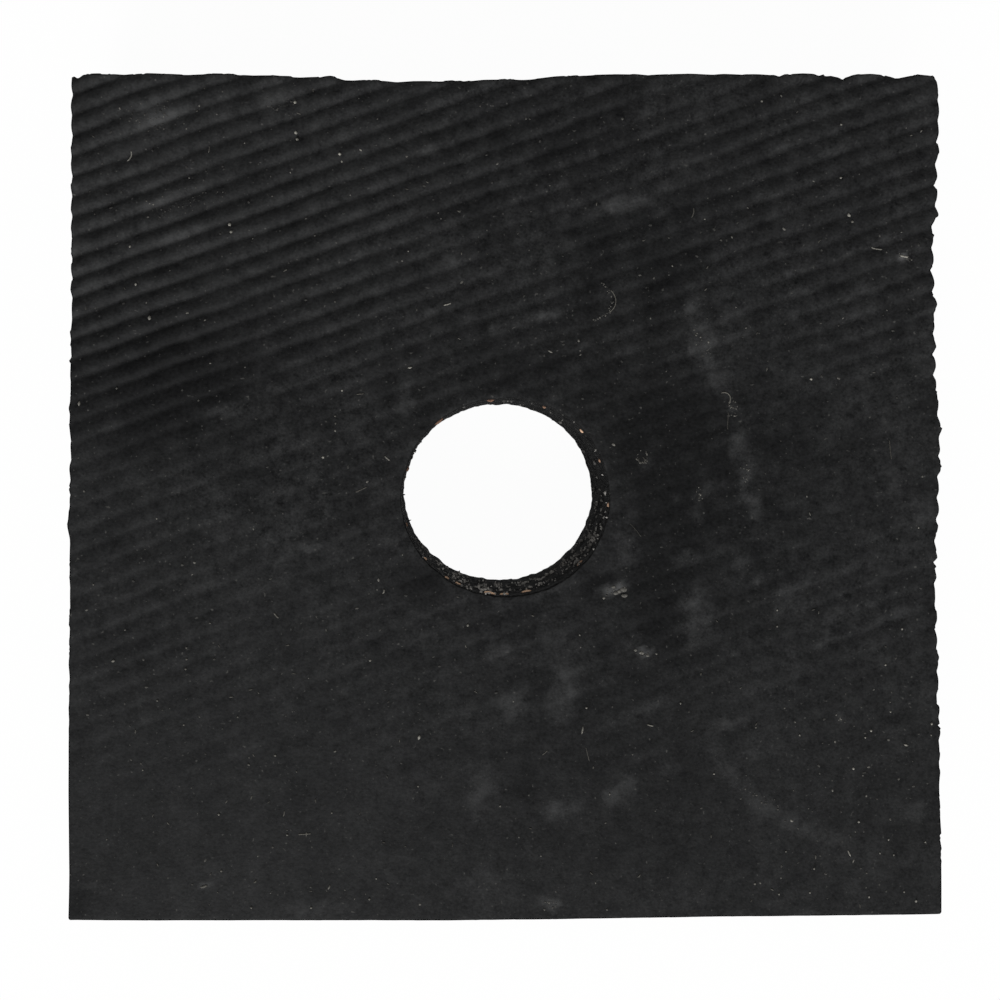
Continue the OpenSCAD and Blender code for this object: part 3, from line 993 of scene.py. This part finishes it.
# Lint
# Stray threads and clipped fibres from the cloth that the sheet was pressed in lie stuck to the face.
# Each row is x, y, length, thickness, tint from white to tan, any turn, and any bend from end to end.
lint_rows = (
    (-43.9, 40, 1.6, 0.16, 0.4, 65, 60), (-24.6, 46.3, 0.6, 0.36, 0.2, 60),
    (-24.5, 42.7, 0.5, 0.42, 0, 30), (-24.4, 42, 0.5, 0.36, 0.4, 80), (-19.4, 40.2, 0.5, 0.36, 0.1, 90),
    (-19.2, 39.4, 0.4, 0.22, 0.5, 100), (-16.9, 40.6, 0.6, 0.18, 0.2, -35),
    (-32.3, 31.9, 0.7, 0.38, 0.1, -60), (-32.1, 31.1, 0.5, 0.34, 0.3, 85), (-43.2, 24.9, 0.4, 0.32, 0),
    (-41.7, 21.1, 0.8, 0.36, 0.2, 95, 10), (-43.9, 29.4, 0.5, 0.22, 0.4, 60),
    (-49.9, 11.1, 0.8, 0.28, 0.3, 85), (-34.7, 40.9, 1.2, 0.13, 0.8, 85, 30),
    (40.3, 33, 0.7, 0.36, 0.2, -60), (40.6, 32.2, 0.5, 0.28, 0.6, -50), (39.3, 37.4, 0.4, 0.22, 0.3),
    (39.3, 43.6, 0.4, 0.22, 0.3), (22, 33.4, 1.5, 0.14, 0.85, 75, 50),
    (12.9, 22.9, 3.4, 0.11, 0.7, -90, -120), (-6.7, 22.6, 1.3, 0.14, 0.3, 15, 10),
    (5.3, 17, 0.9, 0.18, 0.4, -30), (-11.1, 15.2, 0.8, 0.22, 0.2, 10), (9, -27.1, 1.2, 0.2, 0.5, 80, 15),
    (17, -26.7, 1.1, 0.14, 0.4, -15, 20), (4.7, -29.8, 1.2, 0.1, 0.8, 40), (9.6, -30.1, 2, 0.1, 0.9, -75),
    (35.6, -2, 0.7, 0.14, 0.7, -70), (26.2, 11.9, 2.4, 0.15, 0.75, -45, -170),
    (26, 8.9, 2.4, 0.08, 0.95, -93, 5), (16, 4, 2.2, 0.1, 0.9, 0, 320), (45, 5.6, 2.6, 0.1, 0.95, -83, 5),
    (46.7, 28.2, 1.4, 0.22, 0.1, -10, 15), (43.6, 29.1, 1.6, 0.15, 0.4, -15, 20),
    (35.8, 13.8, 0.5, 0.26, 0.1, -30), (40.2, -41.7, 1.1, 0.16, 0.3, -65, 15),
    (40.7, -42.4, 0.8, 0.14, 0.4, 70), (-10.1, -28, 0.8, 0.3, 0, 75),
    (-26.8, -13.9, 1.2, 0.16, 0.7, -50, 20), (-45.8, -19.1, 0.7, 0.26, 0.5, 20),
    (-23.5, -39.4, 1.8, 0.15, 0.75, 3, 5), (-23.3, -39.3, 0.9, 0.14, 0.8, 85),
    (-20.6, -45.5, 0.9, 0.22, 0.65, 65), (-29.2, -44.9, 0.8, 0.2, 0.9, 30, 60),
    (-35.2, -45.5, 1.1, 0.24, 0.7, 15, 20), (-14.2, -10.9, 0.9, 0.2, 0.5, 60, 90),
    (-21.3, 4.7, 0.5, 0.28, 0, 20), (-19.1, 12.5, 0.4, 0.24, 0.3), (-19.9, 9.5, 0.4, 0.18, 0.8),
    (-19.9, 8.7, 0.4, 0.18, 0.7, 90), (-19.9, 7.8, 0.4, 0.24, 0.5), (-13.8, 4.5, 1.1, 0.16, 0.5, -40),
    (-16.9, 0.9, 1.8, 0.14, 0.9, 25, 5), (-16.9, 12.1, 1.3, 0.14, 0.9, 5), (-15.8, -19.1, 0.5, 0.24, 0.5),
    (-37.3, -17.6, 0.4, 0.2, 0.7), (-37.3, -18.9, 0.4, 0.24, 0.75, 60), (-37.4, -20.1, 0.4, 0.22, 0.65),
    (15.3, -3.9, 2.4, 0.06, 0.95, -50, -10), (49.9, -26.5, 0.4, 0.28, 0), (49.8, -27.8, 0.3, 0.2, 0.5),
    (46.9, -29, 0.8, 0.22, 0.2, -20), (45.1, -25.1, 0.3, 0.22, 0.3), (42.8, -27.3, 0.4, 0.26, 0.1),
    (42.1, -28.1, 0.3, 0.22, 0.2), (40.7, -31.7, 0.4, 0.3, 0), (41.3, -37.9, 0.4, 0.3, 0, 90),
    (44.8, -40, 0.3, 0.24, 0.2), (43.8, -41.6, 0.3, 0.22, 0.4), (45.4, -41.8, 0.3, 0.22, 0.4),
    (48, -47.2, 0.4, 0.3, 0, -20), (42.5, -46.7, 0.3, 0.26, 0.1), (46.6, -46.1, 0.3, 0.22, 0.3),
    (49.1, -40.3, 0.3, 0.22, 0.3), (46.4, -15.4, 0.3, 0.26, 0.2), (44.5, -19.6, 0.4, 0.24, 0.3),
    (-33.5, -37.1, 0.4, 0.24, 0.5), (-33.2, -43.7, 0.4, 0.24, 0.5), (-29.7, -48, 0.4, 0.26, 0.5),
    (-22.7, -48, 0.4, 0.26, 0.5), (-15.9, -47, 0.4, 0.24, 0.5), (-15.1, -44.6, 0.3, 0.22, 0.5),
    (-20.3, -36.9, 0.3, 0.22, 0.55), (-25.5, -39.5, 0.4, 0.22, 0.5), (-26.9, -30.2, 0.4, 0.24, 0.5),
    (-30, -31.3, 0.5, 0.2, 0.6, -30), (-19.9, -29.7, 0.6, 0.18, 0.65, 20), (-40.8, -2.5, 0.3, 0.22, 0.5),
    (-40.7, -23.8, 0.4, 0.2, 0.65), (-42.4, -31.9, 0.3, 0.2, 0.6), (-37.6, -26.6, 0.3, 0.2, 0.6),
    (-31.3, -25.7, 0.3, 0.2, 0.6), (-48.2, -10.2, 0.3, 0.22, 0.6), (-32.6, -35.5, 0.7, 0.12, 0.8, 60),
    (-29.7, -35, 0.9, 0.12, 0.8, 70), (-25.9, -37, 1, 0.12, 0.75, 75, 40), (29.2, -45.2, 0.4, 0.24, 0.4),
    (32, -46.4, 0.3, 0.24, 0.4), (35.6, -46.2, 0.3, 0.24, 0.4), (36.1, -43.4, 0.3, 0.24, 0.4),
    (32.8, -41.4, 0.3, 0.2, 0.5), (24.4, -32.3, 0.4, 0.22, 0.5, 20), (34.4, -27.8, 0.3, 0.24, 0.4),
    (20.5, -24.1, 0.3, 0.24, 0.3), (29.3, -26.9, 0.3, 0.22, 0.5), (31.8, -13.2, 0.3, 0.24, 0.4),
    (31.8, -15.1, 0.3, 0.22, 0.5), (-4.4, -14.9, 0.5, 0.24, 0.4, 70), (8.7, -16.1, 0.3, 0.22, 0.4),
    (9.5, -24.6, 0.4, 0.24, 0.4), (-10.2, -33.8, 0.3, 0.22, 0.5), (-0.6, -36.1, 0.4, 0.22, 0.5),
    (12.2, -34.7, 0.3, 0.22, 0.5), (11.9, -48.2, 0.3, 0.22, 0.5),
)
stray_threads = 90
thread_sides = 6
thread_step = 0.2
thread_lift = 0.15
thread_rise = 0.35
stray_x = (-49.0, 49.0)
stray_front_y = (-48.0, -13.0)
stray_back_y = (13.0, 48.0)
stray_front_share = 0.6


def add_thread(bits, x, y, length, thick, tint, turned=0.0, bend=0.0):
    """A thread that lies along an arc on the face and tapers at both ends."""
    points = max(4, round(length / thread_step))
    heading = np.radians(turned) + np.radians(bend) * (np.arange(points) / (points - 1) - 0.5)
    path_x = np.cumsum(np.cos(heading)) * length / points
    path_y = np.cumsum(np.sin(heading)) * length / points
    path_x += x - path_x[points // 2]
    path_y += y - path_y[points // 2]
    path_z = face_height(path_x, path_y) + thread_lift * thick
    rings = []
    for i in range(points):
        middle = Vector((path_x[i], path_y[i], path_z[i]))
        if i in (0, points - 1):
            rings.append([middle])
            continue
        side = Vector((-math.sin(heading[i]), math.cos(heading[i]), 0.0)) * thick / 2
        rise = Vector((0.0, 0.0, thread_rise * thick))
        angles = [2 * math.pi * k / thread_sides for k in range(thread_sides)]
        rings.append([middle + side * math.cos(a) + rise * math.sin(a) for a in angles])
    bits.add_tube(rings, tint)


lint = BitsMesh()
for row in lint_rows:
    add_thread(lint, *row)
for _ in range(stray_threads):
    x = dice.uniform(*stray_x)
    y = dice.uniform(*(stray_front_y if dice.random() < stray_front_share else stray_back_y))
    length, thick = dice.uniform(0.3, 0.9), dice.uniform(0.10, 0.16)
    turned, bend, tint = dice.uniform(0, 180), dice.uniform(-60, 60), dice.uniform(0.75, 1.0)
    add_thread(lint, x, y, length, thick, tint, turned, bend)
lint_white = (0.40, 0.385, 0.34, 1.0)
lint_tan = (0.060, 0.056, 0.048, 1.0)
lint.piece("lint", fibre_material("lint", lint_white, lint_tan, fibre_cleanness))

# Grit
# Pale grains of talc and clipped fibre dust, pressed into the face. They lie in loose swarms, thickest in
# the front right corner, and as crumbs along scrapes and threads and in front of the hole.
grain_count = 440
grain_rough = 0.3
grain_dullness = 4.0
clean_corner_x = (18.0, 30.0)
clean_corner_y = (-12.0, -22.0)
clean_corner_share = 1.3
edge_clear = 1.0
front_clear = 1.5
back_clear = 2.0
everywhere_share = 0.1
# x, y, reach and share of the grains
grit_swarms = (
    (43, -31, 8, 0.9), (39, -41, 9, 0.8), (-25, -42, 12, 0.4), (32, 28, 16, 0.5), (0, 32, 14, 0.3),
    (-12, -12, 9, 0.3), (-38, -18, 9, 0.3), (-36, 36, 14, 0.7),
)


def grit_chance(x, y):
    """How likely a grain is to lie at a place."""
    return everywhere_share + sum(share * math.exp(-((x - a) ** 2 + (y - b) ** 2) / reach ** 2)
                                  for a, b, reach, share in grit_swarms)


def on_face(x, y):
    """The place on the upper face at a point."""
    return Vector((x, y, face_height(np.array([x]), np.array([y]))[0]))


def bead_axes(length, width, height):
    """Half axes of a bead that lies square."""
    return Vector((length, 0.0, 0.0)), Vector((0.0, width, 0.0)), Vector((0.0, 0.0, height))


grit_places = []
while len(grit_places) < grain_count:
    x = dice.uniform(left_x + edge_clear, right_x - edge_clear)
    y = dice.uniform(front_y + front_clear, back_y - back_clear)
    if math.hypot(x, y) > hole_radius + edge_clear and dice.random() < grit_chance(x, y):
        grit_places.append((x, y))
grit_x, grit_y = np.array(grit_places).T
grit = BitsMesh()

# small crumbs strewn along bent lines: x, y, length, half width, turn, bend, count and palest tint
strewn_rough = 0.4
crumb_trails = (
    (-41.2, 44.7, 6, 2.2, 12, 0, 90, 0.75), (-26.6, 46.4, 4, 2.2, 0, 0, 50, 0.75),
    (-37, 34.4, 9, 2, 16, 0, 70, 0.75), (12.4, 22.6, 5.6, 0.28, -100, -150, 46, 0),
    (26.6, 10.4, 2, 0.5, -70, 0, 26, 0), (16, 4, 3, 0.2, 0, 320, 30, 0),
    (28.1, 3, 2.4, 0.6, -80, 0, 16, 0), (22.6, 0.4, 1.6, 0.4, -80, 0, 12, 0),
    (12.8, -10.9, 2.4, 0.6, 8, 0, 34, 0.5), (15.9, -18.3, 1.5, 0.25, -14, 0, 16, 0.5),
    (46.8, 28.1, 1.8, 0.3, -18, 0, 24, 0), (23, 18, 5, 0.8, -70, 0, 20, 0),
    (29.4, -34.8, 6, 0.7, -42, 25, 24, 0.5), (39.1, -25.9, 1.4, 0.3, -45, 0, 12, 0),
    (5.2, -47.7, 1.6, 0.9, 20, 0, 26, 0.2),
)
for trail_x, trail_y, length, half_width, turned, bend, number, palest in crumb_trails:
    for _ in range(number):
        share = dice.uniform(-0.5, 0.5)
        heading = math.radians(turned + bend * share / 2)
        aside = dice.gauss(0.0, half_width / 2)
        x = trail_x + length * share * math.cos(heading) - aside * math.sin(heading)
        y = trail_y + length * share * math.sin(heading) + aside * math.cos(heading)
        size = 0.04 + 0.08 * dice.random() ** 2
        axes = bead_axes(size, size, 0.5 * size)
        grit.add_bead(on_face(x, y), axes, strewn_rough, dice, dice.uniform(palest, 1.0))

# large crumbs in front of the hole: x, y, half length and tint
crumb_rough = 0.35
crumbs = (
    (12.6, -10.5, 0.25, 0.3), (13.8, -10.8, 0.45, 0.45), (13.9, -11.5, 0.4, 0.45),
    (12.9, -11.2, 0.35, 0.5), (13.3, -11, 0.3, 0.3), (11.5, -11.8, 0.17, 0), (15.2, -17.9, 0.2, 0.2),
    (15.9, -18.2, 0.3, 0.1), (16.6, -18.5, 0.2, 0.2),
)
for x, y, size, tint in crumbs:
    axes = bead_axes(size, 0.7 * size, 0.3 * size)
    grit.add_bead(on_face(x, y), axes, crumb_rough, dice, tint)

for x, y, z in zip(grit_x, grit_y, face_height(grit_x, grit_y)):
    size = 0.07 + 0.08 * dice.random() ** 2
    lies = dice.uniform(0.0, math.pi)
    along = Vector((math.cos(lies), math.sin(lies), 0.0)) * size * dice.uniform(1.0, 1.8)
    across = Vector((-math.sin(lies), math.cos(lies), 0.0)) * size
    up = Vector((0.0, 0.0, 0.4 * size))
    clean = ease(x, *clean_corner_x) * ease(y, *clean_corner_y)
    tint = 1.0 - dice.random() ** (grain_dullness - clean_corner_share * clean)
    grit.add_bead(Vector((x, y, z)), (along, across, up), grain_rough, dice, tint)

grit_pale = (0.24, 0.23, 0.205, 1.0)
grit_dull = (0.045, 0.044, 0.041, 1.0)
grit.piece("grit", fibre_material("grit", grit_pale, grit_dull, fibre_cleanness))

# Floor
# A plain white sheet that the pad lies on. It shows white to the camera and to reflections, and keeps
# a faint shadow of the pad.
floor_half = 1.5
shadow_share = 0.03
floor_drop = 0.02 * mm
floor_mesh = bpy.data.meshes.new("floor")
floor_mesh.from_pydata([(-floor_half, -floor_half, 0.0), (floor_half, -floor_half, 0.0),
                        (floor_half, floor_half, 0.0), (-floor_half, floor_half, 0.0)], [], [(0, 1, 2, 3)])
floor = bpy.data.objects.new("floor", floor_mesh)
floor.location.z = -floor_drop
bpy.context.collection.objects.link(floor)
paper = bpy.data.materials.new("white paper")
paper.use_nodes = True
tree = paper.node_tree
tree.nodes.remove(tree.nodes["Principled BSDF"])
matt = put(tree, "ShaderNodeBsdfDiffuse", {"Color": (0.9, 0.9, 0.9, 1.0)})
white = put(tree, "ShaderNodeEmission", {"Color": (1.0, 1.0, 1.0, 1.0), "Strength": 1.0})
path = put(tree, "ShaderNodeLightPath").outputs
seen = maths(tree, "ADD", path["Is Camera Ray"], path["Is Glossy Ray"])
seen = maths(tree, "ADD", seen, path["Is Transmission Ray"], clamp=True)
shown = put(tree, "ShaderNodeMixShader", {0: maths(tree, "MULTIPLY", seen, 1 - shadow_share)})
join(tree, matt.outputs[0], shown.inputs[1])
join(tree, white.outputs[0], shown.inputs[2])
join(tree, shown.outputs[0], tree.nodes["Material Output"].inputs["Surface"])
floor_mesh.materials.append(paper)

# Light
# A soft lamp low in front of the pad and a little to its left rakes over the ridges, and an even sky
# fills the rest.
sky_strength = 0.40
lamp_turn = math.radians(-100.0)
lamp_rise = math.radians(30.0)
lamp_distance = 1.6
lamp_size = 0.8
lamp_power = 29.0

world = bpy.data.worlds.new("sky")
bpy.context.scene.world = world
world.use_nodes = True
tree = world.node_tree
path = put(tree, "ShaderNodeLightPath").outputs
level = maths(tree, "MULTIPLY_ADD", path["Is Camera Ray"], 1 - sky_strength, sky_strength)
join(tree, level, tree.nodes["Background"].inputs["Strength"])
tree.nodes["Background"].inputs["Color"].default_value = (1.0, 1.0, 1.0, 1.0)

lamp = bpy.data.objects.new("lamp", bpy.data.lights.new("lamp", "AREA"))
lamp.data.shape = "DISK"
lamp.data.size = lamp_size
lamp.data.energy = lamp_power
towards = Vector((math.cos(lamp_turn) * math.cos(lamp_rise), math.sin(lamp_turn) * math.cos(lamp_rise),
                  math.sin(lamp_rise)))
lamp.location = towards * lamp_distance
lamp.rotation_euler = towards.to_track_quat("Z", "Y").to_euler()
bpy.context.collection.objects.link(lamp)

bpy.context.scene.view_settings.view_transform = "Standard"
